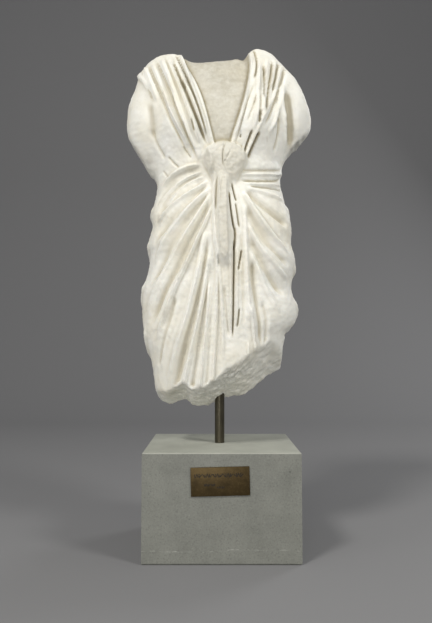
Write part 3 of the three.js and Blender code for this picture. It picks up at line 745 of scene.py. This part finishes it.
def rodMetal():
    look = rodLook
    material, tree, shader, place = newMaterial("rodMetal")
    drawn = addNode(tree, "ShaderNodeMapping", None, {"Vector": place, "Scale": (1, 1, look["drawnOut"])})
    streaks = cloud(tree, drawn.out("Vector"), look["streak"], 4.0, 0.6)
    blotches = cloud(tree, place, look["blotch"], 4.0, 0.6)
    worn = (streaks * look["streakShare"] + blotches * look["blotchShare"]).spread(*look["wornFrom"])
    colour = blend(tree, worn, look["metal"], look["worn"])
    rough = look["rough"] + streaks * look["streakRough"]
    feed(tree, shader, {"Base Color": colour, "Roughness": rough.within(), "Metallic": look["metallic"],
                        "Normal": bump(tree, streaks, look["bump"], look["bumpDepth"])})
    return material


def dress(name, material):
    node = bpy.data.objects[name]
    node.data.materials.clear()
    node.data.materials.append(material)


dress("plinth", plinthStone())
dress("rod", rodMetal())

# plate: a thin brass sheet with softened edges, and rows of dark strokes in place of its inscription

plate = {
    "width": 0.070, "height": 0.034, "thick": 0.0016, "tilt": radians(1.4), "edge": 0.0004, "edgeSteps": 3,
    "smoothTo": radians(50), "strokeWide": 0.0009, "strokeDeep": 0.0004, "strokeProud": 0.00008,
    "slants": (0.0, 0.35, -0.35, 0.0, 0.7, 0.0, -0.6), "lengths": (0.75, 1.0, 0.6, 1.0, 0.85),
    "groupOf": 7, "gapAt": 5,          # of each group, one stroke is left out
    "rows": [  # from, to, up, tall as shares of the plate, and how many strokes
        (-0.43, 0.40, 0.21, 0.15, 34), (-0.27, -0.10, -0.11, 0.10, 9), (-0.05, 0.06, -0.20, 0.08, 5)],
}
plateLook = {
    "brass": (0.066, 0.045, 0.018), "bright": (0.10, 0.07, 0.03), "dark": (0.034, 0.024, 0.010),
    "mottle": 420.0, "brightFrom": (0.48, 0.75), "broad": 84.0, "darkFrom": (0.5, 0.3), "darkMost": 0.6,
    "rough": 0.3, "mottleRough": 0.3, "metallic": 0.85, "bump": 0.15, "bumpDepth": 0.0002,
    "ink": (0.003, 0.002, 0.001), "inkGrain": 1500.0, "inkFrom": (0.5, 0.8), "inkMost": 0.2,
    "inkRough": 0.6, "grainRough": 0.3,
}


def plateBrass():
    look = plateLook
    material, tree, shader, place = newMaterial("agedBrass")
    mottle = cloud(tree, place, look["mottle"], 5.0, 0.65)
    broad = cloud(tree, place, look["broad"], 3.0)
    colour = blend(tree, mottle.spread(*look["brightFrom"]), look["brass"], look["bright"])
    colour = blend(tree, broad.spread(*look["darkFrom"]) * look["darkMost"], colour, look["dark"])
    rough = look["rough"] + mottle * look["mottleRough"]
    feed(tree, shader, {"Base Color": colour, "Roughness": rough.within(), "Metallic": look["metallic"],
                        "Normal": bump(tree, mottle, look["bump"], look["bumpDepth"])})
    return material


def strokeInk():
    look = plateLook
    material, tree, shader, place = newMaterial("strokeInk")
    grain = cloud(tree, place, look["inkGrain"], 2.0)
    colour = blend(tree, grain.spread(*look["inkFrom"]) * look["inkMost"], look["ink"], look["dark"])
    rough = look["inkRough"] + grain * look["grainRough"]
    feed(tree, shader, {"Base Color": colour, "Roughness": rough.within()})
    return material


def addBlock(name, size, place, turn=0.0):
    bpy.ops.object.select_all(action="DESELECT")
    bpy.ops.mesh.primitive_cube_add(size=1, location=place, rotation=(0, turn, 0))
    block = bpy.context.object
    block.name = block.data.name = name
    block.scale = size
    bpy.ops.object.transform_apply(location=True, rotation=True, scale=True)
    return block


def addPlate():
    low, high = (Vector(corner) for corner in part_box("plate"))
    middle = (low + high) / 2
    front, proud = low.y, plate["strokeProud"]
    size = (plate["width"], plate["thick"] - proud, plate["height"])
    sheet = addBlock("plateSheet", size, middle + Vector((0, proud / 2, 0)), -plate["tilt"])
    rounding = sheet.modifiers.new("rounding", "BEVEL")
    rounding.width, rounding.segments = plate["edge"], plate["edgeSteps"]
    bpy.ops.object.modifier_apply(modifier="rounding")
    bpy.ops.object.shade_smooth_by_angle(angle=plate["smoothTo"])
    sheet.data.materials.append(plateBrass())
    strokes = []
    for start, end, up, tall, count in plate["rows"]:
        for i in range(count):
            if i % plate["groupOf"] == plate["gapAt"]:
                continue
            across = plate["width"] * (start + (end - start) * i / (count - 1))
            rise = plate["height"] * up
            length = plate["height"] * tall * plate["lengths"][i % len(plate["lengths"])]
            x = middle.x + across * cos(plate["tilt"]) - rise * sin(plate["tilt"])
            z = middle.z + across * sin(plate["tilt"]) + rise * cos(plate["tilt"])
            size = (plate["strokeWide"], plate["strokeDeep"], length)
            slant = plate["slants"][i % len(plate["slants"])]
            strokes.append(addBlock("stroke", size, (x, front + plate["strokeDeep"] / 2, z), slant))
    for stroke in strokes:
        stroke.select_set(True)
    bpy.ops.object.join()
    lines = bpy.context.object
    lines.name = lines.data.name = "plateStrokes"
    lines.data.materials.append(strokeInk())
    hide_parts("plate")
    for piece in (sheet, lines):
        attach(piece, "root")


addPlate()
print("plinth, rod and plate dressed")

# floor and lights

studio = {"floor": (0.22, 0.22, 0.225), "width": 8.0, "near": -3.0, "bend": 1.3, "radius": 1.2, "wall": 3.0,
          "bendSteps": 24, "gap": 0.0004, "rough": 0.8, "sky": (0.80, 0.81, 0.83), "skyStrength": 0.3,
          "aim": (0, 0, 0.38)}


def addStudio():
    bottom = cadBox[0][2] - studio["gap"]
    path = [(studio["near"], bottom)]
    for i in range(studio["bendSteps"] + 1):
        angle = pi / 2 * i / studio["bendSteps"]
        away, up = studio["radius"] * sin(angle), studio["radius"] * (1 - cos(angle))
        path.append((studio["bend"] + away, bottom + up))
    path.append((path[-1][0], studio["wall"]))
    half = studio["width"] / 2
    points = [(side * half, y, z) for y, z in path for side in (-1, 1)]
    faces = [(2 * i, 2 * i + 1, 2 * i + 3, 2 * i + 2) for i in range(len(path) - 1)]
    mesh = bpy.data.meshes.new("floor")
    mesh.from_pydata(points, [], faces)
    mesh.shade_smooth()
    floor = bpy.data.objects.new("floor", mesh)
    bpy.context.collection.objects.link(floor)
    material, tree, shader = newMaterial("paleFloor")[:3]
    feed(tree, shader, {"Base Color": (*studio["floor"], 1), "Roughness": studio["rough"]})
    mesh.materials.append(material)
    world = bpy.data.worlds.new("studio")
    bpy.context.scene.world = world
    world.use_nodes = True
    background = world.node_tree.nodes["Background"]
    background.inputs["Color"].default_value = (*studio["sky"], 1)
    background.inputs["Strength"].default_value = studio["skyStrength"]


lamps = [
    {"name": "key", "place": (-1.2, -1.7, 2.4), "size": 0.6, "power": 42.0, "colour": (1.0, 0.975, 0.93)},
    {"name": "left", "place": (-2.0, -1.3, 0.7), "size": 0.9, "power": 7.0, "colour": (1.0, 0.985, 0.95)},
    {"name": "side", "place": (1.3, -1.1, 1.3), "size": 0.5, "power": 15.0, "colour": (1.0, 0.985, 0.94)},
    {"name": "low", "place": (-0.2, -1.5, 0.25), "size": 0.4, "power": 6.0, "colour": (1.0, 0.98, 0.95)},
    {"name": "back", "place": (1.7, 1.6, 1.6), "size": 0.9, "power": 14.0, "colour": (1.0, 1.0, 1.0)},
]


def addLamp(lamp):
    data = bpy.data.lights.new(lamp["name"], "AREA")
    data.shape, data.size, data.energy, data.color = "DISK", lamp["size"], lamp["power"], lamp["colour"]
    light = bpy.data.objects.new(lamp["name"], data)
    light.location = lamp["place"]
    aim = Vector(studio["aim"]) - light.location
    light.rotation_euler = aim.to_track_quat("-Z", "Y").to_euler()
    bpy.context.collection.objects.link(light)


bpy.context.scene.view_settings.view_transform = "Standard"
addStudio()
for lamp in lamps:
    addLamp(lamp)
print("studio lit")
